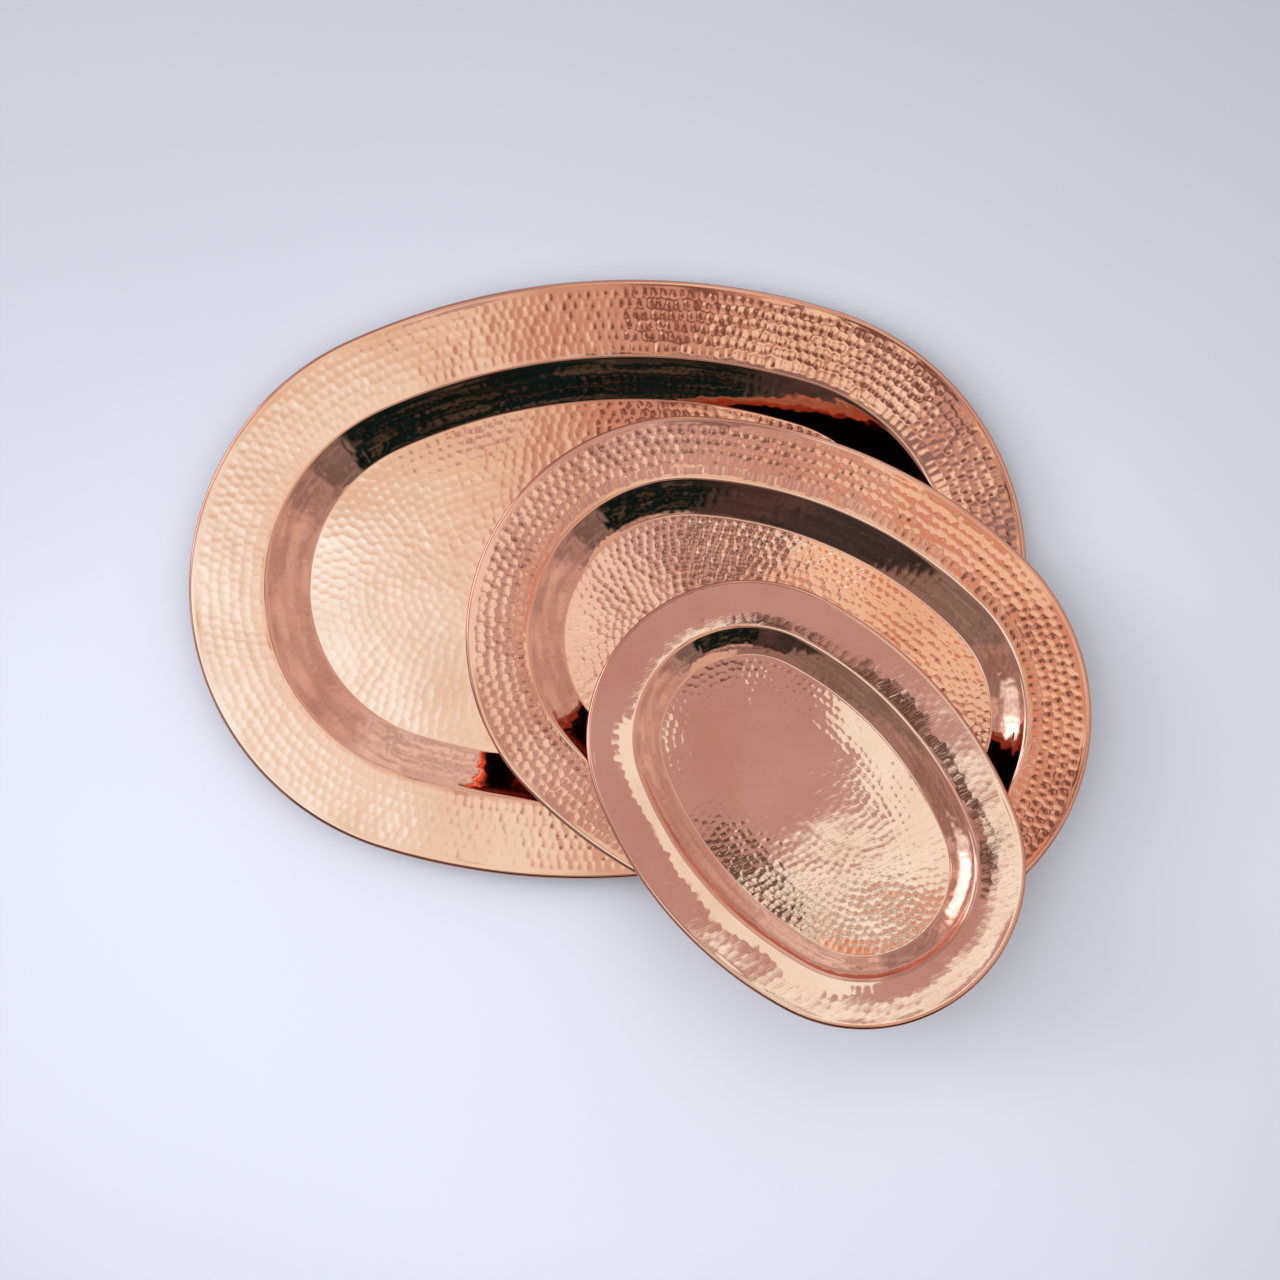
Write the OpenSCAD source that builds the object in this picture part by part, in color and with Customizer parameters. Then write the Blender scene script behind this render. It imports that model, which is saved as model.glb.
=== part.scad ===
// Three hammered copper serving trays of one design in graduated sizes, lying one on another.
// Each tray is one raised sheet: a flat floor, a hollow sloping wall, a wide rim and an outer
// edge rolled over a wire. The medium tray leans on the large one, the small on the medium.

/* [Large tray] */

// Overall length of the large tray
large_l = 614; // [594:2:640]
// Overall width of the large tray
large_w = 438; // [422:2:452]
// Width of the large rim, edge roll included
large_rim = 55; // [46:0.5:62]
// Level width of the large tray's sloping wall, from rim to floor
large_wall = 32; // [27:0.5:36]
// Turn of the large tray's long axis from the X axis, in degrees
large_turn = 3.6; // [-10:0.1:10]

/* [Medium tray] */

// Overall length of the medium tray
medium_l = 468; // [450:2:480]
// Overall width of the medium tray
medium_w = 350; // [338:2:360]
// Width of the medium rim, edge roll included
medium_rim = 45; // [38:0.5:50]
// Level width of the medium tray's sloping wall, from rim to floor
medium_wall = 26.5; // [22:0.5:30]
// Place of the middle of its underside along X
medium_x = 124.1; // [118:0.1:130]
// Place of the middle of its underside along Y
medium_y = -71.9; // [-78:0.1:-66]
// Height of the middle of its underside
medium_z = 18.15; // [18.15:0.05:24]
// Turn of its long axis about the vertical, in degrees
medium_turn = -24.1; // [-30:0.1:-18]
// Lean about the X axis, in degrees
medium_lean_x = -5.17; // [-6:0.01:-4]
// Lean about the Y axis, in degrees
medium_lean_y = -3.57; // [-4.5:0.01:-2.5]

/* [Small tray] */

// Overall length of the small tray
small_l = 360; // [348:2:370]
// Overall width of the small tray
small_w = 257; // [249:2:265]
// Width of the small rim, edge roll included
small_rim = 33.5; // [28:0.5:38]
// Level width of the small tray's sloping wall, from rim to floor
small_wall = 20.5; // [17:0.5:24]
// Place of the middle of its underside along X
small_x = 143.1; // [138:0.1:148]
// Place of the middle of its underside along Y
small_y = -163.7; // [-169:0.1:-158]
// Height of the middle of its underside
small_z = 42.4; // [42.4:0.05:50]
// Turn of its long axis about the vertical, in degrees
small_turn = -48.7; // [-54:0.1:-42]
// Lean about the X axis, in degrees
small_lean_x = -12.19; // [-14:0.01:-10]
// Lean about the Y axis, in degrees
small_lean_y = -3.06; // [-4.5:0.01:-1.5]

/* [Sheet and edge] */

// Thickness of the copper sheet
sheet = 1; // [0.8:0.1:1.2]
// Radius over the outside of the rolled edge
roll_r = 2.4; // [2.2:0.1:2.8]
// How far round the wire the edge is rolled, in degrees
roll_turn = 285; // [240:5:290]
// Rise of the rim towards its outer edge, in degrees
rim_rise = 2.5; // [0:0.5:4]
// Steepness of the wall just under the rim, in degrees
wall_top = 45; // [40:1:52]
// Steepness of the wall where it meets the floor, in degrees
wall_foot = 24; // [16:1:30]
// Radius of the turn from the rim into the wall
shoulder_r = 5; // [3:0.5:7]
// Radius of the crease between wall and floor
crease_r = 3; // [2:0.5:5]

/* [Hidden] */

$fn = 360;

// Sides of the wire, and of the full circle that the roll's section is drawn with.
wire_sides = 24;
roll_steps = 24;

// The wire lies inside the flats of the roll with a hair of clearance.
wire_r = (roll_r - sheet) * cos(180 / roll_steps) - 0.01;

// The floor swept with an end arc stops this far from the arc's centre.
hub_r = 12;

// Points of an arc about c, from one angle to another.
function arc(c, r, from, to, n) = [for (i = [0:n])
    let (g = from + (to - from) * i / n) c + r * [cos(g), sin(g)]];

function reversed(list) = [for (i = [len(list) - 1:-1:0]) list[i]];

// Radius of the wall's hollow that makes up its level width.
function wall_r(wall) = (wall
    - shoulder_r * (sin(wall_top) - sin(rim_rise))
    - crease_r * sin(wall_foot)) / (sin(wall_top) - sin(wall_foot));

// Heights of the upper face, going up the section from the floor.
function foot_z() = sheet + crease_r * (1 - cos(wall_foot));
function head_z(wall) = foot_z() + wall_r(wall) * (cos(wall_foot) - cos(wall_top));
function rim_z(wall) = head_z(wall) + shoulder_r * (cos(rim_rise) - cos(wall_top));
function edge_z(rim, wall) = rim_z(wall) + (rim - roll_r) * tan(rim_rise);

// Middle of the rolled edge. In a section, x runs outwards from the outline and y is height.
function roll_c(rim, wall) = [-roll_r, edge_z(rim, wall) - roll_r / cos(rim_rise)];

// The roll, the shoulder, the hollow wall and the crease as one line, d under the upper face.
function roll_line(rim, wall, d) = arc(roll_c(rim, wall), roll_r - d,
    90 + rim_rise - roll_turn, 90 + rim_rise, ceil(roll_turn * roll_steps / 360));
function shoulder_line(rim, wall, d) =
    arc([-rim, rim_z(wall)] - shoulder_r * [cos(90 + rim_rise), sin(90 + rim_rise)],
        shoulder_r - d, 90 + rim_rise, 90 + wall_top, 5);
function wall_line(rim, wall, d) =
    arc([crease_r * sin(wall_foot) - rim - wall, foot_z()]
        + wall_r(wall) * [cos(90 + wall_foot), sin(90 + wall_foot)],
        -wall_r(wall) - d, 90 + wall_top, 90 + wall_foot, 8);
function crease_line(rim, wall, d) =
    arc([-rim - wall, sheet + crease_r], -crease_r - d, 90 + wall_foot, 90, 3);

function face_line(rim, wall, d) = concat(roll_line(rim, wall, d),
    shoulder_line(rim, wall, d), wall_line(rim, wall, d), crease_line(rim, wall, d));

// Closed section of the sheet, with the floor running in to a given x.
function section(rim, wall, floor_x) = concat(face_line(rim, wall, 0),
    [[floor_x, sheet], [floor_x, 0]], reversed(face_line(rim, wall, sheet)));

// A four-centre oval laid out on 44-117-125 triangles. End arc and side arc meet on the line
// through their centres, which has this direction.
meet = [0.352, 0.936];

// Distance between the centres of an end arc and a side arc, to half a millimetre.
function centres(l, w) = round((l - w) / (meet[0] + meet[1] - 1)) / 2;
function end_r(l, w) = w / 2 - (1 - meet[1]) * centres(l, w);
function side_r(l, w) = end_r(l, w) + centres(l, w);

// The quarter of space with X and Y positive.
module first_quarter() {
    translate([0, 0, -10]) cube([400, 300, 80]);
}

// Sweeps a section round a quarter of the oval: children 0 on the end, children 1 on the side.
module quarter(l, w) {
    turn = acos(meet[0]);
    intersection() {
        mirror([0, 1, 0]) translate([meet[0] * centres(l, w), 0, 0]) rotate([0, 0, -turn])
            rotate_extrude(angle = 80) translate([end_r(l, w), 0]) children(0);
        first_quarter();
    }
    intersection() {
        translate([0, -meet[1] * centres(l, w), 0]) rotate([0, 0, turn])
            rotate_extrude(angle = 26) translate([side_r(l, w), 0]) children(1);
        first_quarter();
    }
}

module both_sides() {
    children();
    mirror([0, 1, 0]) children();
}

module all_round() {
    both_sides() children();
    mirror([1, 0, 0]) both_sides() children();
}

module sheet_body(l, w, rim, wall) {
    all_round() {
        quarter(l, w) {
            polygon(section(rim, wall, hub_r - end_r(l, w)));
            polygon(section(rim, wall, -w / 2 - 20));
        }
        // Disc of floor about the centre of the end arc.
        intersection() {
            translate([meet[0] * centres(l, w), 0, 0]) cylinder(r = hub_r + 15, h = sheet);
            first_quarter();
        }
    }
}

module wire_body(l, w, rim, wall) {
    ring = arc(roll_c(rim, wall), wire_r, 0, 360 - 360 / wire_sides, wire_sides - 1);
    all_round() quarter(l, w) {
        polygon(ring);
        polygon(ring);
    }
}

// Where each tray lies.
module place_large() {
    rotate([0, 0, large_turn]) children();
}

module place_medium() {
    translate([medium_x, medium_y, medium_z]) rotate([medium_lean_x, medium_lean_y, 0])
        rotate([0, 0, medium_turn]) children();
}

module place_small() {
    translate([small_x, small_y, small_z]) rotate([small_lean_x, small_lean_y, 0])
        rotate([0, 0, small_turn]) children();
}

module large_tray() {
    color("peru") place_large() sheet_body(large_l, large_w, large_rim, large_wall);
}

module large_rim_wire() {
    color("dimgray") place_large() wire_body(large_l, large_w, large_rim, large_wall);
}

module medium_tray() {
    color("chocolate") place_medium()
        sheet_body(medium_l, medium_w, medium_rim, medium_wall);
}

module medium_rim_wire() {
    color("gray") place_medium()
        wire_body(medium_l, medium_w, medium_rim, medium_wall);
}

module small_tray() {
    color("sandybrown") place_small() sheet_body(small_l, small_w, small_rim, small_wall);
}

module small_rim_wire() {
    color("silver") place_small() wire_body(small_l, small_w, small_rim, small_wall);
}

large_tray();
large_rim_wire();
medium_tray();
medium_rim_wire();
small_tray();
small_rim_wire();
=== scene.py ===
"""Three hammered copper serving trays, lying one on another, seen from straight above."""
import math

import bpy
import numpy as np
from mathutils import Matrix, Vector


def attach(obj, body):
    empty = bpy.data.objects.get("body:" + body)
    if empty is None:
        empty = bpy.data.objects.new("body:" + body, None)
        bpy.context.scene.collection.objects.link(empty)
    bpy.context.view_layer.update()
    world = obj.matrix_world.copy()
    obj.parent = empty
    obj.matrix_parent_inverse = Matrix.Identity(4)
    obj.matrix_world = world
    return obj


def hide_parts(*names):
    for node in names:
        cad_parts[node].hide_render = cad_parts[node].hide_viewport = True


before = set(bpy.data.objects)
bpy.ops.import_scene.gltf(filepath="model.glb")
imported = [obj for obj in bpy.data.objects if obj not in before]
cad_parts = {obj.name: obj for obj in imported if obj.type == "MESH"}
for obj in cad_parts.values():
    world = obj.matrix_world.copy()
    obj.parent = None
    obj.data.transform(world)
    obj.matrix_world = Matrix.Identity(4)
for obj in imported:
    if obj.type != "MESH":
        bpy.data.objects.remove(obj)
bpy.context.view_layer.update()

MM = 0.001

# ---------------------------------------------------------------------------------------------
# The trays, in millimetres and degrees, as they are in the CAD model: length, width, rim, level
# width of the wall, place of the underside's middle, lean about X and Y, turn about the vertical.
# Then what only the visual model has: the rows of hammer marks on the rim, the marks on the rim
# and on the floor (see Marks.add), how far from the rim's inner edge the sheet is drawn down and
# by how much, the mesh's step, and the random seed.
TRAYS = {
    "large": dict(
        l=614, w=438, rim=55, wall=32, at=(0, 0, 0), lean=(0, 0), turn=3.6,
        rim_rows=6, on_rim=(6.6, 125, 1.2, 0.22), on_floor=(7.3, 150, 1.1, 0.15),
        sag=(9, 0.11), step=1.0, seed=11),
    "medium": dict(
        l=468, w=350, rim=45, wall=26.5, at=(124.1, -71.9, 18.15), lean=(-5.17, -3.57), turn=-24.1,
        rim_rows=5, on_rim=(7.0, 125, 1.2, 0.22), on_floor=(6.2, 110, 1.1, 0.22),
        sag=(14, 0.20), step=0.95, seed=23),
    "small": dict(
        l=360, w=257, rim=33.5, wall=20.5, at=(143.1, -163.7, 42.4), lean=(-12.19, -3.06), turn=-48.7,
        rim_rows=4, on_rim=(7.0, 450, 1.2, 0.10), on_floor=(5.7, 180, 1.1, 0.12),
        sag=(17, 0.26), step=0.85, seed=37),
}

# The section that they share: the sheet's thickness, the edge roll's outer radius and how far it
# is rolled round, the rise of the rim, the slope of the wall at its top and its foot, and the
# upper face's radius at the shoulder and in the crease.
SHEET = 1.0
ROLL_R, ROLL_TURN = 2.4, 285.0
RIM_RISE = 2.5
WALL_TOP, WALL_FOOT = 45.0, 24.0
SHOULDER_R, CREASE_R = 5.0, 3.0

# The normal's two parts where the end curves of an outline meet its side curves.
MEET = (0.352, 0.936)

# Rows of marks: how far they start inside the outline, end outside the rim's inner edge and start
# again inside it; the marks on the wall; the distance of the floor's rows, in steps between marks;
# how many rows of the floor have equally many marks; the ring that stands for the floor's middle;
# the points that a ring's length is summed over.
OUTER_FREE, INNER_FREE, WALL_FREE = 5.5, 2.5, 3
ON_WALL = (7, 160, 1.2, 0.40)
FLOOR_ROWS = 0.92
ALIKE = 3
MIDDLE = 0.01
SUMMED = 2881

# How unevenly the marks are placed: along a row in steps between marks, then any way in
# millimetres, on the level parts and on the wall.
ALONG, PUSH, WALL_PUSH = 0.06, 0.2, 0.7

# Between which distances the marks grow from nothing to full: inwards from the outline, outwards
# from the rim's inner edge, inwards from it, outwards from the wall's foot, inwards from it. Then
# how far from the wall's foot the sag ends.
RIM_IN, RIM_OUT = (-5.5, -8.5), (1.0, 3.5)
WALL_IN, WALL_OUT = (-4.0, -7.0), (1.0, 4.0)
FLOOR_IN = (-0.3, -2.3)
SAG_END = 3

# Slow and brisk unevenness: height, shortest and longest wave. The roll, which lies within
# ROLL_END of the outline, has only a part of it, and the rim gets all of it by degrees.
SLOW, BRISK = (0.07, 45, 130), (0.006, 14, 30)
ROLL_PART, ROLL_END, RIM_FREE = 0.25, 4.85, (-3.0, -7.5)

# The underside: how much of the marks shows there, and the step of its floor.
SHOW_THROUGH, UNDER_STEP = 0.8, 2.6

# The metal is dull, and painted darker as painted shade, where its normal rises less than the first number.
# On the roll's outer half it gets so by degrees, as the normal's rise falls by the third number from the
# second.
DOWN, DULL_SHADE_FROM, DULL_SHADE_OVER = 0.2, 0.95, 0.4

# The floor's rings, at 1 at the wall's foot and 0 in the middle: inside the second number, a ring
# that has more points than the outermost over the first number is halved. The number of points
# is a multiple of EVENLY, so that it can be halved. The last ring is LAST steps from the middle.
HALVED = ((2, 0.68), (4, 0.34), (8, 0.14))
EVENLY = 16
LAST = 0.7


def sind(a):
    return math.sin(math.radians(a))


def cosd(a):
    return math.cos(math.radians(a))


def smooth(lo, hi, v):
    t = np.clip((v - lo) / (hi - lo), 0, 1)
    return t * t * (3 - 2 * t)


class Oval:
    """The four-centre oval and the section of one tray."""

    SUMMED = 4097           # points that a ring's length is summed over

    def __init__(self, l, w, rim, wall):
        self.rim, self.wall = rim, wall
        self.centres = round((l - w) / (MEET[0] + MEET[1] - 1)) / 2
        self.end_r = w / 2 - (1 - MEET[1]) * self.centres
        self.side_r = self.end_r + self.centres
        self.end_x = MEET[0] * self.centres
        self.side_y = MEET[1] * self.centres
        self.wall_r = (wall - SHOULDER_R * (sind(WALL_TOP) - sind(RIM_RISE))
                       - CREASE_R * sind(WALL_FOOT)) / (sind(WALL_TOP) - sind(WALL_FOOT))
        self.foot_z = SHEET + CREASE_R * (1 - cosd(WALL_FOOT))
        head_z = self.foot_z + self.wall_r * (cosd(WALL_FOOT) - cosd(WALL_TOP))
        self.rim_z = head_z + SHOULDER_R * (cosd(RIM_RISE) - cosd(WALL_TOP))
        edge_z = self.rim_z + (rim - ROLL_R) * math.tan(math.radians(RIM_RISE))
        self.roll_c = (-ROLL_R, edge_z - ROLL_R / cosd(RIM_RISE))
        self.half_l, self.half_w = l / 2 - rim - wall, w / 2 - rim - wall

    def ring(self, angle, x):
        """Points x outwards from the outline, where the outline's normal has this angle."""
        nx, ny = np.cos(angle), np.sin(angle)
        end = np.abs(ny) <= MEET[1]
        px = np.where(end, np.sign(nx) * self.end_x + (self.end_r + x) * nx,
                      (self.side_r + x) * nx)
        py = np.where(end, (self.end_r + x) * ny,
                      (self.side_r + x) * ny - np.sign(ny) * self.side_y)
        return px, py

    def floor_ring(self, angle, t):
        """Ring on the floor: t is 1 at the foot of the wall and 0 on the floor's middle line."""
        ex, ey = self.ring(angle, -self.rim - self.wall)
        cx = (self.half_l - self.half_w) / self.half_l * ex
        return cx + t * (ex - cx), t * ey

    def even_angles(self, n, x):
        """Normal angles of n points spaced evenly along the ring at x."""
        fine = np.linspace(0, 2 * math.pi, self.SUMMED)
        radius = np.where(np.abs(np.sin(fine)) <= MEET[1], self.end_r + x, self.side_r + x)
        run = np.concatenate([[0], np.cumsum((radius[1:] + radius[:-1]) / 2)])
        return np.interp(np.arange(n) / n * run[-1], run, fine)

    def section(self, depth, steps):
        """The line of one face from the end of the roll to the foot of the crease, depth under
        the upper face, as rows of x, z, normal x, normal z. The steps are those over the roll,
        the rim, the shoulder, the wall and the crease."""
        rows = []
        up = 90 + RIM_RISE
        roll_n, rim_n, shoulder_n, wall_n, crease_n = steps

        def convex(cx, cz, r, start, stop, n):
            for i in range(n + 1):
                g = start + (stop - start) * i / n
                rows.append((cx + r * cosd(g), cz + r * sind(g), cosd(g), sind(g)))

        def hollow(cx, cz, r, start, stop, n):
            for i in range(1, n + 1):
                g = start + (stop - start) * i / n
                rows.append((cx + r * sind(g), cz - r * cosd(g), -sind(g), cosd(g)))

        convex(*self.roll_c, ROLL_R - depth, up - ROLL_TURN, up, roll_n)
        x0, z0 = rows[-1][:2]
        cx, cz = -self.rim - SHOULDER_R * cosd(up), self.rim_z - SHOULDER_R * sind(up)
        x1, z1 = cx + (SHOULDER_R - depth) * cosd(up), cz + (SHOULDER_R - depth) * sind(up)
        for i in range(1, rim_n):
            t = i / rim_n
            rows.append((x0 + (x1 - x0) * t, z0 + (z1 - z0) * t, cosd(up), sind(up)))
        convex(cx, cz, SHOULDER_R - depth, up, 90 + WALL_TOP, shoulder_n)
        foot = CREASE_R * sind(WALL_FOOT) - self.rim - self.wall
        hollow(foot - self.wall_r * sind(WALL_FOOT), self.foot_z + self.wall_r * cosd(WALL_FOOT),
               self.wall_r + depth, WALL_TOP, WALL_FOOT, wall_n)
        hollow(-self.rim - self.wall, SHEET + CREASE_R, CREASE_R + depth, WALL_FOOT, 0, crease_n)
        return np.array(rows)


class Marks:
    """Hammer marks: shallow hollows of the hammer's face that meet in ridges, each with its own
    size and tilt. The level of the sheet is their mean."""

    CELL = 9.0              # size of the squares that they are sorted into
    RIDGE = 0.06            # greatest height of a ridge
    SIZES = 0.12            # spread of the radii, as a part
    MEAN = 1 / 12           # mean height of a hollow over its own bottom, in pitch ** 2 / radius
    DEPTHS = 0.03           # spread of that
    WAYS = 0.12             # spread of the directions, in radians

    def __init__(self, rng):
        self.rng = rng
        self.rows = []

    def add(self, x, y, way, pitch, hollow, long, tilt):
        """Marks at these places, in a row that runs this way: distance along the row, radius of
        their hollow along it, how many times longer it is across it, tilt in degrees."""
        n = len(x)
        r = self.rng
        hollow = hollow * np.exp(r.normal(0, self.SIZES, n))
        sunk = pitch ** 2 / hollow * (self.MEAN + r.normal(0, self.DEPTHS, n))
        lean = np.radians(r.normal(0, tilt, (n, 2)))
        way = way + r.normal(0, self.WAYS, n)
        self.rows.append(np.column_stack([x, y, sunk, 1 / (2 * hollow), 1 / (2 * hollow * long),
                                          lean, np.cos(way), np.sin(way)]))

    def close(self):
        """Sorts the marks into squares, so that depth() only looks at those round a point."""
        m = np.concatenate(self.rows)
        self.lo = m[:, :2].min(0) - self.CELL * 2
        self.shape = ((m[:, :2].max(0) + self.CELL * 2 - self.lo) / self.CELL).astype(int) + 1
        cell = ((m[:, :2] - self.lo) / self.CELL).astype(int)
        key = cell[:, 0] * self.shape[1] + cell[:, 1]
        order = np.argsort(key, kind="stable")
        self.sorted = m[order]
        self.start = np.searchsorted(key[order], np.arange(self.shape[0] * self.shape[1] + 1))
        self.most = int((self.start[1:] - self.start[:-1]).max())

    def depth(self, x, y):
        """How far over the sheet's level the hammered face lies at each point."""
        cx = np.clip(((x - self.lo[0]) / self.CELL).astype(int), 1, self.shape[0] - 2)
        cy = np.clip(((y - self.lo[1]) / self.CELL).astype(int), 1, self.shape[1] - 2)
        low = np.full(len(x), self.RIDGE)
        for dx in (-1, 0, 1):
            for dy in (-1, 0, 1):
                key = (cx + dx) * self.shape[1] + cy + dy
                first, last = self.start[key], self.start[key + 1]
                for k in range(self.most):
                    has = np.flatnonzero(first + k < last)
                    if not len(has):
                        break
                    near = self.sorted[first[has] + k]
                    mx, my, sunk, bend, cross_bend, lean_x, lean_y, way_x, way_y = near.T
                    ax, ay = x[has] - mx, y[has] - my
                    along, across = ax * way_x + ay * way_y, ay * way_x - ax * way_y
                    h = (along ** 2 * bend + across ** 2 * cross_bend - sunk
                         + ax * lean_x + ay * lean_y)
                    low[has] = np.minimum(low[has], h)
        return low


class Waves:
    """Slow unevenness of handwork: a sum of plane waves, in millimetres."""

    COUNT = 28

    def __init__(self, rng, height, lo, hi):
        wave = np.exp(rng.uniform(math.log(lo), math.log(hi), self.COUNT))
        way = rng.uniform(0, 2 * math.pi, self.COUNT)
        self.kx, self.ky = 2 * math.pi / wave * np.cos(way), 2 * math.pi / wave * np.sin(way)
        self.at = rng.uniform(0, 2 * math.pi, self.COUNT)
        self.size = height * (wave / wave.mean()) * math.sqrt(2 / self.COUNT)

    def __call__(self, x, y):
        out = np.zeros(len(x))
        for kx, ky, at, size in zip(self.kx, self.ky, self.at, self.size):
            out += size * np.sin(kx * x + ky * y + at)
        return out


class Mesh:
    """Rings of points joined by strips of faces; a ring has as many points as the last, or half."""

    def __init__(self):
        self.points, self.faces, self.tones, self.count = [], [], [], 0

    def ring(self, x, y, z, tone):
        """Adds a ring, and returns the number of its first point and how many it has."""
        first = self.count
        self.points.append(np.column_stack([x, y, z]))
        self.tones.append(np.full(len(x), tone))
        self.count += len(x)
        return first, len(x)

    def face(self, columns, turn):
        f = np.column_stack(columns)
        self.faces.append(f[:, ::-1] if turn else f)

    def strip(self, a, b, turn=False):
        """Faces between an outer ring and the next one inwards, facing up unless turned."""
        (a0, na), (b0, nb) = a, b
        i = np.arange(nb)
        j = (i + 1) % nb
        if na == nb:
            self.face((a0 + i, a0 + j, b0 + j, b0 + i), turn)
            return
        a1, a2, a3 = a0 + 2 * i, a0 + 2 * i + 1, a0 + (2 * i + 2) % na
        self.face((a1, a2, b0 + i), turn)
        self.face((a2, b0 + j, b0 + i), turn)
        self.face((a2, a3, b0 + j), turn)

    def slot(self, a, turn=False):
        """Closes the last ring across its long axis."""
        a0, n = a
        i = np.arange(1, n // 2 - 1)
        self.face((a0 + i, a0 + i + 1, a0 + n - i - 1, a0 + n - i), turn)
        self.face(([a0], [a0 + 1], [a0 + n - 1]), turn)
        self.face(([a0 + n // 2 - 1], [a0 + n // 2], [a0 + n // 2 + 1]), turn)

    def build(self, name, place):
        """The Blender object, with the tray's place and turn in its vertices."""
        xyz = np.concatenate(self.points) @ place[:3, :3].T + place[:3, 3]
        mesh = bpy.data.meshes.new(name)
        loops = np.concatenate([f.ravel() for f in self.faces])
        sizes = np.concatenate([np.full(len(f), f.shape[1]) for f in self.faces])
        mesh.vertices.add(len(xyz))
        mesh.vertices.foreach_set("co", (xyz * MM).astype(np.float32).ravel())
        mesh.loops.add(len(loops))
        mesh.loops.foreach_set("vertex_index", loops.astype(np.int32))
        mesh.polygons.add(len(sizes))
        mesh.polygons.foreach_set("loop_start", (np.cumsum(sizes) - sizes).astype(np.int32))
        mesh.polygons.foreach_set("use_smooth", np.ones(len(sizes), bool))
        # Per point: dullness and painted shade, 1 on the underside and on the roll's outer side, 0 on the
        # open upper face.
        tone = mesh.attributes.new("tone", "FLOAT", "POINT")
        tone.data.foreach_set("value", np.concatenate(self.tones).astype(np.float32))
        mesh.update(calc_edges=True)
        mesh.validate()
        obj = bpy.data.objects.new(name, mesh)
        bpy.context.scene.collection.objects.link(obj)
        return obj


def placement(spec):
    """The tray's rotation and place as a 4 by 4 array, in millimetres."""
    turn = (Matrix.Rotation(math.radians(spec["lean"][1]), 4, "Y")
            @ Matrix.Rotation(math.radians(spec["lean"][0]), 4, "X")
            @ Matrix.Rotation(math.radians(spec["turn"]), 4, "Z"))
    m = np.array(turn)
    m[:3, 3] = spec["at"]
    return m


def hammering(oval, spec, rng):
    """The marks of one tray: rows that follow the outline over the rim, wall and floor."""
    marks = Marks(rng)

    def places(ring, at, pitch):
        """Spaces marks evenly along the ring at this place, from a random start. What it returns
        gives their angles, moved on by a part of a step and a little uneven."""
        fine = np.linspace(0, 2 * math.pi, SUMMED)
        fx, fy = ring(fine, at)
        run = np.concatenate([[0], np.cumsum(np.hypot(np.diff(fx), np.diff(fy)))])
        n = max(3, int(round(run[-1] / pitch)))
        start = rng.uniform()

        def moved(part):
            along = (np.arange(n) + start + part + rng.normal(0, ALONG, n)) / n % 1
            return np.interp(along * run[-1], run, fine)

        return moved

    def row(ring, at, angle, kind, push):
        """Marks of this kind at these angles, in the direction that the ring has there."""
        nudge = 0.004
        x, y = ring(angle, at)
        x0, y0 = ring(angle - nudge, at)
        x1, y1 = ring(angle + nudge, at)
        off = rng.normal(0, push, (2, len(x)))
        marks.add(x + off[0], y + off[1], np.arctan2(y1 - y0, x1 - x0), *kind)

    # On the level parts each row lies in the gaps of the one before.
    rows, pitch = spec["rim_rows"], spec["on_rim"][0]
    gap = (oval.rim - OUTER_FREE - INNER_FREE) / rows
    moved = places(oval.ring, -OUTER_FREE - gap * rows / 2, pitch)
    for k in range(rows):
        row(oval.ring, -OUTER_FREE - gap * (k + 0.5), moved(k % 2 / 2), spec["on_rim"], PUSH)

    pitch = ON_WALL[0]
    for k in range(int(oval.wall / pitch)):
        x = -oval.rim - WALL_FREE - pitch * (k + 0.5)
        row(oval.ring, x, places(oval.ring, x, pitch)(0), ON_WALL, WALL_PUSH)

    pitch = spec["on_floor"][0]
    rows = int(round(oval.half_w / (pitch * FLOOR_ROWS)))
    for k in range(rows):
        if k % ALIKE == 0:
            moved = places(oval.floor_ring, max(1 - (k + ALIKE / 2) / rows, MIDDLE), pitch)
        t = max(1 - (k + 0.5) / rows, MIDDLE)
        row(oval.floor_ring, t, moved(k % 2 / 2), spec["on_floor"], PUSH)
    marks.close()
    return marks


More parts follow.
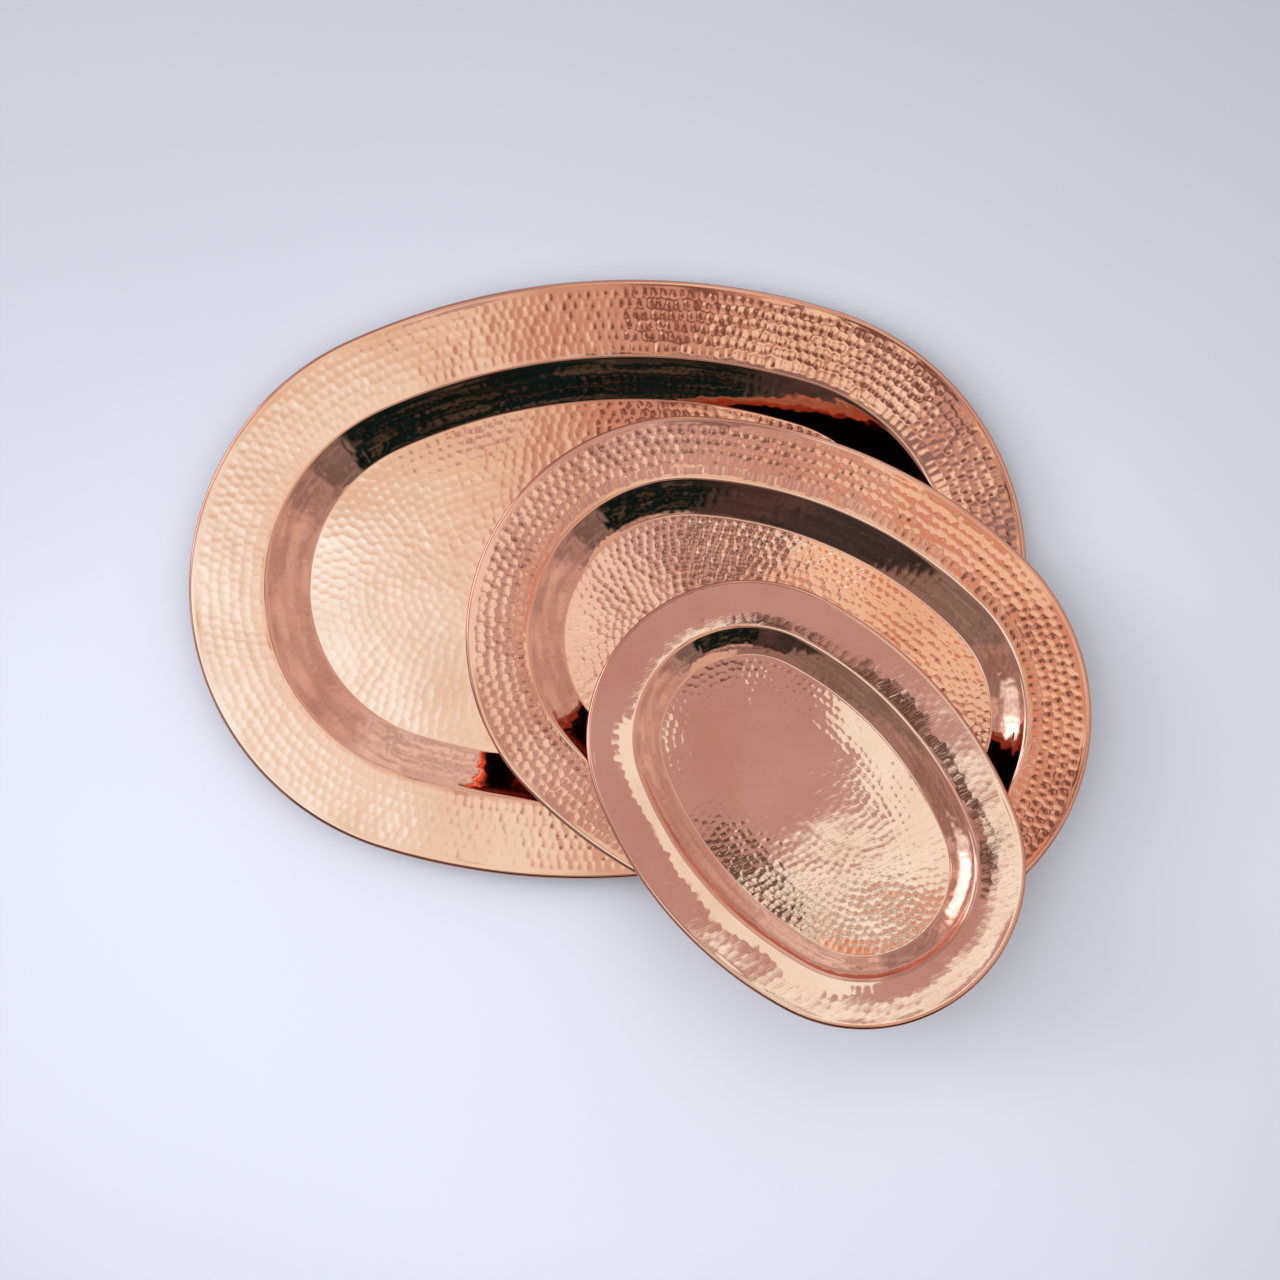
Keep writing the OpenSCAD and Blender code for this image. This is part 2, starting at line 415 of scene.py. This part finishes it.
def make_tray(key):
    """One tray: a closed mesh of its upper and its under face, joined along the roll's end."""
    spec = TRAYS[key]
    oval = Oval(spec["l"], spec["w"], spec["rim"], spec["wall"])
    bend, foot = -oval.rim, -oval.rim - oval.wall
    rng = np.random.default_rng(spec["seed"])
    marks = hammering(oval, spec, rng)
    slow = Waves(rng, *SLOW)
    brisk = Waves(rng, *BRISK)
    mesh = Mesh()

    def fade(edge, ends, x):
        return float(smooth(edge + ends[0], edge + ends[1], x))

    def share(x):
        """How strongly the hammer reached the sheet at x: not the roll, the shoulder, the crease."""
        if x > bend:
            return fade(0, RIM_IN, x) * fade(bend, RIM_OUT, x)
        if x > foot:
            return fade(bend, WALL_IN, x) * fade(foot, WALL_OUT, x)
        return fade(foot, FLOOR_IN, x)

    def sag(x):
        """The rim's inner edge is drawn down a little where it was bent over into the wall."""
        reach, drop = spec["sag"]
        t = np.clip((reach - oval.rim - x) / reach, 0, 1)
        return -drop * t * t * smooth(foot + SAG_END, bend, x)

    def uneven(x, y, hit, part=1.0):
        """Height over the plain sheet: marks by this share, and this part of the waves."""
        h = marks.depth(x, y) * hit if hit > 0 else np.zeros(len(x))
        return h + (slow(x, y) + brisk(x, y)) * part

    def tone(depth, x, nz):
        """How dull and how shaded the metal is: 1 on the underside and where the sheet faces down, 0 on the
        open upper face. The shading is painted shade under the edges, and the dullness is rougher metal.
        """
        if depth > 0 or nz < DOWN:
            return 1.0
        return float(np.clip((DULL_SHADE_FROM - nz) / DULL_SHADE_OVER, 0, 1)) if x > -ROLL_R else 0.0

    step = spec["step"]
    around = 2 * math.pi * (oval.end_r - oval.rim) + 4 * math.asin(MEET[0]) * oval.centres
    n = EVENLY * round(around / step / EVENLY)
    angles = oval.even_angles(n, bend)

    def face(depth, angle, steps, show, turn):
        """One face of the sheet, depth under the upper one, with the marks by the share that
        shows there. Returns its first ring, at the end of the roll."""
        first = last = None
        for x, z, nx, nz in oval.section(depth, steps):
            px, py = oval.ring(angle, x)
            part = ROLL_PART
            if x < -ROLL_END:
                part += (1 - ROLL_PART) * fade(0, RIM_FREE, x)
            h = uneven(px, py, share(x) * show, part) + sag(x)
            px, py = px + nx * h * np.cos(angle), py + nx * h * np.sin(angle)
            now = mesh.ring(px, py, z + nz * h, tone(depth, x, nz))
            if last:
                mesh.strip(last, now, turn)
            else:
                first = now
            last = now
        total = int(round(oval.half_w / (step if depth == 0 else UNDER_STEP)))
        for k in range(1, total + 1):
            t = 1 - k / (total + LAST)
            if any(len(angle) > n // part and t < inside for part, inside in HALVED):
                angle = angle[::2]
            px, py = oval.floor_ring(angle, t)
            h = uneven(px, py, share(foot - oval.half_w * (1 - t)) * show)
            # The underside's floor gets the full dullness and painted shade, and the upper face's floor
            # gets none.
            now = mesh.ring(px, py, SHEET - depth + h, 0.0 if depth == 0 else 1.0)
            mesh.strip(last, now, turn)
            last = now
        mesh.slot(last, turn)
        return first

    rim_n, wall_n = round((oval.rim - ROLL_R) / step), round(oval.wall / step)
    top = face(0.0, angles, (22, rim_n, 7, wall_n, 4), 1.0, False)
    under = face(SHEET, angles[::2], (10, rim_n // 2, 3, wall_n // 2, 2), SHOW_THROUGH, True)
    mesh.strip(top, under, True)
    obj = mesh.build(key + "_hammered_tray", placement(spec))
    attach(obj, key)
    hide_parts(key + "_tray")
    return obj


# ---------------------------------------------------------------------------------------------
# Materials. A value is a plain one or another node's output.

def new_material(name):
    mat = bpy.data.materials.new(name)
    mat.use_nodes = True
    return mat, mat.node_tree, mat.node_tree.nodes["Principled BSDF"]


def feed(tree, value, socket):
    """Links an output to the socket, or gives it the plain value."""
    if isinstance(value, bpy.types.NodeSocket):
        tree.links.new(value, socket)
    else:
        socket.default_value = value


def object_place(tree):
    return tree.nodes.new("ShaderNodeTexCoord").outputs["Object"]


def mapped(tree, coords, place=(0, 0, 0), turn=(0, 0, 0), size=(1, 1, 1), kind="POINT"):
    n = tree.nodes.new("ShaderNodeMapping")
    n.vector_type = kind
    n.inputs["Location"].default_value = place
    n.inputs["Rotation"].default_value = turn
    n.inputs["Scale"].default_value = size
    tree.links.new(coords, n.inputs["Vector"])
    return n.outputs["Vector"]


def noise(tree, coords, scale, detail=3.0, rough=0.5):
    n = tree.nodes.new("ShaderNodeTexNoise")
    n.inputs["Scale"].default_value = scale
    n.inputs["Detail"].default_value = detail
    n.inputs["Roughness"].default_value = rough
    tree.links.new(coords, n.inputs["Vector"])
    return n.outputs["Fac"]


def ramp(tree, fac, stops):
    n = tree.nodes.new("ShaderNodeValToRGB")
    while len(n.color_ramp.elements) < len(stops):
        n.color_ramp.elements.new(0.5)
    for element, (at, colour) in zip(n.color_ramp.elements, stops):
        element.position = at
        element.color = colour + (1,)
    tree.links.new(fac, n.inputs["Fac"])
    return n.outputs["Color"]


def spread(tree, fac, lo, hi, to_lo, to_hi, kind="LINEAR"):
    n = tree.nodes.new("ShaderNodeMapRange")
    n.interpolation_type = kind
    for name, value in zip(("From Min", "From Max", "To Min", "To Max"), (lo, hi, to_lo, to_hi)):
        n.inputs[name].default_value = value
    tree.links.new(fac, n.inputs["Value"])
    return n.outputs["Result"]


def mix(tree, fac, a, b):
    """Mixes two colours. The node has a set of sockets for each type: these are the colour's."""
    n = tree.nodes.new("ShaderNodeMix")
    n.data_type = "RGBA"
    feed(tree, fac, n.inputs[0])
    feed(tree, a, n.inputs[6])
    feed(tree, b, n.inputs[7])
    return n.outputs[2]


def maths(tree, what, a, b=0.0):
    n = tree.nodes.new("ShaderNodeMath")
    n.operation = what
    feed(tree, a, n.inputs[0])
    feed(tree, b, n.inputs[1])
    return n.outputs[0]


def vector_maths(tree, what, a, b=(0.0, 0.0, 0.0)):
    n = tree.nodes.new("ShaderNodeVectorMath")
    n.operation = what
    feed(tree, a, n.inputs[0])
    feed(tree, b, n.inputs[1])
    return n.outputs["Value" if what == "LENGTH" else "Vector"]


def bump(tree, shader, height, strength, distance):
    n = tree.nodes.new("ShaderNodeBump")
    n.inputs["Strength"].default_value = strength
    n.inputs["Distance"].default_value = distance
    tree.links.new(height, n.inputs["Height"])
    tree.links.new(n.outputs["Normal"], shader.inputs["Normal"])


def copper(name, seed):
    """Polished copper: brighter and browner clouds, hair-fine polishing scratches, small specks,
    duller, and darker brown as painted shade, on the underside and on the roll's outer side."""
    mat, tree, shader = new_material(name)
    where = mapped(tree, object_place(tree), (seed * 0.37, seed * 0.11, 0.0), (0.1, 0.2, seed * 0.9))
    clouds = noise(tree, where, 14, 4, 0.55)
    fine = noise(tree, where, 160, 3, 0.6)
    colour = ramp(tree, clouds, [(0.30, (0.86, 0.375, 0.245)), (0.52, (0.93, 0.43, 0.295)),
                                 (0.72, (0.95, 0.47, 0.335))])
    speck = spread(tree, fine, 0.66, 0.80, 0.0, 0.35)
    colour = mix(tree, speck, colour, (0.60, 0.22, 0.13, 1))
    # Painted shade: the mesh's attribute mixes the underside and the roll's outer side towards dark brown,
    # and makes them rougher.
    tone = tree.nodes.new("ShaderNodeAttribute")
    tone.attribute_name = "tone"
    dull_and_shade = maths(tree, "MULTIPLY", tone.outputs["Fac"], spread(tree, clouds, 0.35, 0.65, 0.55, 0.9))
    colour = mix(tree, dull_and_shade, colour, (0.36, 0.145, 0.095, 1))
    tree.links.new(colour, shader.inputs["Base Color"])
    shader.inputs["Metallic"].default_value = 1.0
    rough = spread(tree, noise(tree, where, 38, 4, 0.6), 0.3, 0.7, 0.014, 0.042)
    rough = maths(tree, "ADD", rough, maths(tree, "MULTIPLY", dull_and_shade, 0.22))
    tree.links.new(rough, shader.inputs["Roughness"])
    # Polishing scratches in two crossing directions, each a noise that is drawn out that way.
    scratches = []
    for turn, stretch in ((0.5, 18), (2.1, 24)):
        drawn_out = mapped(tree, where, turn=(0, 0, turn), size=(1, stretch, 1))
        scratches.append(spread(tree, noise(tree, drawn_out, 70, 2, 0.5), 0.45, 0.75, 0, 1))
    bump(tree, shader, maths(tree, "ADD", *scratches), 0.25, 0.00001)
    return mat


def steel():
    """Dark drawn iron wire."""
    mat, tree, shader = new_material("rim_wire_steel")
    where = object_place(tree)
    clouds = noise(tree, where, 60, 4, 0.6)
    colour = ramp(tree, clouds, [(0.3, (0.20, 0.19, 0.18)), (0.7, (0.36, 0.34, 0.32))])
    tree.links.new(colour, shader.inputs["Base Color"])
    shader.inputs["Metallic"].default_value = 1.0
    tree.links.new(spread(tree, clouds, 0.3, 0.7, 0.3, 0.5), shader.inputs["Roughness"])
    bump(tree, shader, noise(tree, where, 900, 2, 0.5), 0.4, 0.0001)
    return mat


for number, key in enumerate(TRAYS, 1):
    tray = make_tray(key)
    tray.data.materials.append(copper(key + "_copper", number))

wire = steel()
for key in TRAYS:
    cad_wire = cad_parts[key + "_rim_wire"]
    if not cad_wire.material_slots:
        cad_wire.data.materials.append(wire)
    for slot in cad_wire.material_slots:
        slot.material = wire

# ---------------------------------------------------------------------------------------------
# The surface the trays lie on, the light and the camera.

WHITE = (1.02, 1.86, 2.33)
CREAM = (0.94, 1.33, 1.36)
ROSE = (0.56, 0.55, 0.61)
PLUM = (0.30, 0.30, 0.35)
DARK = (0.14, 0.12, 0.13)
RUST = (0.20, 0.13, 0.12)
WINDOW = (2.8, 2.8, 3.4)
SKYLIGHT = (0.96, 1.5, 1.6)


def panels(tree, coords, base, parts):
    """Colour of flat panels over a base: each at x, y, with its half sizes, turn, soft edge, colour."""
    colour = base
    for x, y, wide, high, turn, soft, tint in parts:
        place = mapped(tree, coords, (x, y, 0), (0, 0, math.radians(turn)), (wide, high, 1), "TEXTURE")
        apart = tree.nodes.new("ShaderNodeSeparateXYZ")
        tree.links.new(place, apart.inputs[0])
        inside = []
        for axis, half in ((0, wide), (1, high)):
            off = maths(tree, "ABSOLUTE", apart.outputs[axis])
            inside.append(spread(tree, off, 1 - soft / half, 1 + soft / half, 1, 0, "SMOOTHSTEP"))
        colour = mix(tree, maths(tree, "MULTIPLY", *inside), colour, tint + (1,))
    return colour


def sky():
    """The room round the trays: soft panels by compass bearing from west and height, in degrees."""
    world = bpy.data.worlds.new("studio")
    bpy.context.scene.world = world
    world.use_nodes = True
    tree = world.node_tree
    ray = tree.nodes.new("ShaderNodeTexCoord").outputs["Generated"]
    split = tree.nodes.new("ShaderNodeSeparateXYZ")
    tree.links.new(ray, split.inputs[0])
    dx, dy, dz = split.outputs
    from_west = maths(tree, "ARCTAN2", maths(tree, "MULTIPLY", dy, -1.0), maths(tree, "MULTIPLY", dx, -1.0))
    height = maths(tree, "ARCSINE", dz)
    join = tree.nodes.new("ShaderNodeCombineXYZ")
    for angle, socket in ((from_west, join.inputs[0]), (height, join.inputs[1])):
        tree.links.new(maths(tree, "MULTIPLY", angle, math.degrees(1.0)), socket)
    bearing = join.outputs[0]
    walls = ramp(tree, noise(tree, ray, 4, 3), [(0.38, (0.50, 0.48, 0.49)), (0.62, (0.71, 0.73, 0.74))])
    room = panels(tree, bearing, walls, [
        (-108, 20, 13, 32, 0, 4, (0.73, 0.87, 0.93)),      # pale wall, north
        (-66, 20, 15, 34, 0, 4, (0.42, 0.42, 0.46)),       # dim corner, north-west
        (22, 24, 24, 34, 0, 3, (0.37, 0.35, 0.37)),        # brown wall, south-west
        (36, 24, 11, 34, 0, 3, (0.26, 0.28, 0.30)),
        (63, 28, 16, 27, 0, 2, (0.05, 0.06, 0.07)),        # the dark side, south
        (72, 30, 6, 24, 0, 2, (0.08, 0.08, 0.09)),
        (95, 59, 42, 4, 0, 2, (0.25, 0.24, 0.25)),
        (142, 20, 12, 45, 0, 3, (0.40, 0.40, 0.44)),
        (132, 20, 8, 45, 0, 2, (0.24, 0.26, 0.29)),
        (102, 0, 24, 52, 0, 2, (0.004, 0.020, 0.024)),
        (-2, 19, 9, 11, 0, 3, (0.95, 1.3, 1.5)),           # window, west, and its frame
        (-24, 16, 17, 10, 0, 3, WINDOW),
        (-26, 44, 5, 4, 0, 1.2, WINDOW),
        (5, 67, 52, 8, 0, 4, (1.5, 1.6, 1.8)),             # the ceiling's edge and the ceiling
        (0, 83, 180, 8, 0, 5, (1.1, 1.1, 1.2)),
    ])
    # Paler and darker patches, so that the hammering shows from the sides, except on the calm
    # walls in the east.
    patches = ramp(tree, noise(tree, ray, 10, 2), [
        (0.40, (0.81, 0.80, 0.80)), (0.48, (0.97, 0.97, 0.97)),
        (0.54, (1.03, 1.03, 1.03)), (0.62, (1.20, 1.21, 1.22))])
    calm = panels(tree, bearing, (0.0, 0.0, 0.0, 1), [
        (-155, 20, 34, 40, 0, 6, (1.0, 1.0, 1.0)),
        (172, 20, 16, 40, 0, 6, (1.0, 1.0, 1.0)),
    ])
    room = mix(tree, calm, vector_maths(tree, "MULTIPLY", room, patches), room)
    # Small things standing about, which mottle the dark sides.
    clutter = ramp(tree, noise(tree, ray, 12, 2), [(0.46, (0.0, 0.0, 0.0)), (0.68, (0.075, 0.095, 0.085))])
    room = vector_maths(tree, "MAXIMUM", room, clutter)
    tree.links.new(room, tree.nodes["Background"].inputs["Color"])
    tree.nodes["Background"].inputs["Strength"].default_value = 1.0


def flat(name, half, z):
    """A level square of twice this half size, as part of the studio."""
    mesh = bpy.data.meshes.new(name)
    mesh.from_pydata([(-half, -half, 0), (-half, half, 0), (half, half, 0), (half, -half, 0)], [],
                     [(0, 1, 2, 3)])
    obj = bpy.data.objects.new(name, mesh)
    obj.location = (0, 0, z)
    bpy.context.scene.collection.objects.link(obj)
    return obj


def overhead():
    """The studio's ceiling panels, 3 m up, which only the polished metal sees."""
    obj = flat("overhead_panels", 1.75, 3.0)
    mat, tree, shader = new_material("overhead_light")
    tree.nodes.remove(shader)
    glow = tree.nodes.new("ShaderNodeEmission")
    tree.links.new(glow.outputs[0], tree.nodes["Material Output"].inputs["Surface"])
    parts = [
        # pale ceiling over the west
        (-1.30, -0.60, 1.18, 1.00, 0, 0.10, (0.84, 1.06, 0.97)),
        (-1.28, -0.86, 1.18, 1.00, 0, 0.10, CREAM),
        (-1.45, -0.96, 1.12, 1.00, 4, 0.14, WHITE),
        (-0.20, -0.45, 0.16, 0.27, 8, 0.05, CREAM),
        (-0.90, -1.25, 1.10, 0.78, 0, 0.05, (0.33, 0.31, 0.33)),
        (-0.85, 0.56, 0.50, 0.16, 0, 0.015, CREAM),
        # beams and fittings over the north-east
        (0.22, 0.22, 0.34, 0.16, 0, 0.04, (0.64, 0.56, 0.48)),
        (0.075, 0.25, 0.050, 0.10, 20, 0.004, RUST),
        (0.200, 0.15, 0.070, 0.07, 20, 0.004, (0.94, 1.2, 1.1)),
        (0.300, 0.27, 0.070, 0.08, 20, 0.004, RUST),
        (0.390, 0.17, 0.040, 0.06, 20, 0.004, ROSE),
        (0.500, 0.16, 0.060, 0.20, 20, 0.004, DARK),
        (0.30, 0.00, 0.24, 0.060, 12, 0.004, PLUM),
        # over the north
        (-0.255, 0.43, 0.065, 0.090, 0, 0.004, ROSE),
        (-0.08, 0.54, 0.18, 0.060, -14, 0.01, (0.64, 0.60, 0.57)),
        (0.12, 0.54, 0.26, 0.110, -38, 0.01, (0.92, 1.06, 0.93)),
        (0.24, 0.42, 0.11, 0.070, -38, 0.02, (0.86, 0.98, 0.88)),
        (0.20, 0.60, 0.20, 0.045, -38, 0.004, (0.72, 0.46, 0.32)),
        (-0.03, 0.43, 0.10, 0.040, -25, 0.004, (0.72, 0.50, 0.40)),
        (-0.230, 0.595, 0.050, 0.025, 0, 0.004, PLUM),
        (-0.22, 0.690, 0.085, 0.060, 0, 0.004, (0.24, 0.20, 0.20)),
        (-0.370, 0.640, 0.050, 0.060, 10, 0.006, (0.56, 0.57, 0.60)),
        # the ceiling's edge and the wall beyond it, and a last fitting over the middle
        (0.00, 1.95, 2.6, 1.00, 25.9, 0.004, ROSE),
        (0.10, 0.88, 0.27, 0.085, 25.9, 0.006, (1.0, 1.6, 1.75)),
        (0.18, 1.22, 0.15, 0.20, 30, 0.004, SKYLIGHT),
        (-0.46, 1.10, 0.13, 0.12, 0, 0.004, SKYLIGHT),
        (-0.64, 0.62, 0.23, 0.15, 0, 0.03, (0.92, 1.16, 1.20)),
        (-0.22, 1.38, 0.26, 0.07, 0, 0.004, DARK),
        (-0.16, 0.86, 0.07, 0.06, 20, 0.004, DARK),
        (0.03, 0.800, 0.13, 0.013, 8, 0.003, DARK),
        (0.0, 0.0, 0.035, 0.035, 0, 0.004, DARK),
    ]
    glare = panels(tree, object_place(tree), (0.72, 0.74, 0.68, 1), parts)
    tree.links.new(glare, glow.inputs["Color"])
    obj.data.materials.append(mat)
    obj.visible_camera = obj.visible_diffuse = obj.visible_shadow = False
    obj.visible_transmission = obj.visible_volume_scatter = False


def surface():
    """The pale ground, with a painted pool of light: lighter round the trays, darker far off."""
    obj = flat("ground", 7.0, -0.0003)
    mat, tree, shader = new_material("pale_surface")
    where = object_place(tree)
    pool = mapped(tree, where, (0.0, 0.325, 0.0), size=(1.0, 1.3, 1.0))
    uneven = spread(tree, noise(tree, where, 3, 3), 0.3, 0.7, -0.02, 0.02)
    far = maths(tree, "ADD", vector_maths(tree, "LENGTH", pool), uneven)
    # Painted light: the colour darkens with distance from the pool's middle, in place of the light's
    # fall-off.
    pale = ramp(tree, far, [
        (0.00, (0.81, 0.815, 0.875)), (0.30, (0.80, 0.805, 0.865)), (0.50, (0.745, 0.75, 0.805)),
        (0.65, (0.655, 0.66, 0.71)), (0.80, (0.60, 0.605, 0.65)), (1.00, (0.535, 0.54, 0.575))])
    tree.links.new(pale, shader.inputs["Base Color"])
    shader.inputs["Roughness"].default_value = 0.7
    obj.data.materials.append(mat)


def soft_box(name, place, aim, size, power, colour):
    """A rectangular light, in watts, that the polished metal doesn't see."""
    light = bpy.data.lights.new(name, "AREA")
    light.shape = "RECTANGLE"
    light.size, light.size_y = size
    light.energy = power
    light.color = colour
    obj = bpy.data.objects.new(name, light)
    obj.location = place
    obj.rotation_euler = (Vector(aim) - Vector(place)).to_track_quat("-Z", "Y").to_euler()
    obj.visible_glossy = False
    bpy.context.scene.collection.objects.link(obj)


surface()
sky()
overhead()
soft_box("window", (-2.3, 0.4, 1.5), (0.0, -0.05, 0.0), (1.3, 1.3), 25, (0.92, 0.96, 1.0))
soft_box("ceiling", (0.0, 0.0, 2.9), (0.0, 0.0, 0.0), (6.0, 6.0), 54, (1.0, 1.0, 1.0))

lens = bpy.data.cameras.new("camera")
lens.sensor_width = 36
lens.lens = 91.3
lens.clip_end = 50
camera = bpy.data.objects.new("camera", lens)
camera.location = (0.0237168, -0.0445056, 2.4)
bpy.context.scene.collection.objects.link(camera)
bpy.context.scene.camera = camera
bpy.context.scene.view_settings.view_transform = "Standard"
bpy.context.scene.view_settings.look = "None"
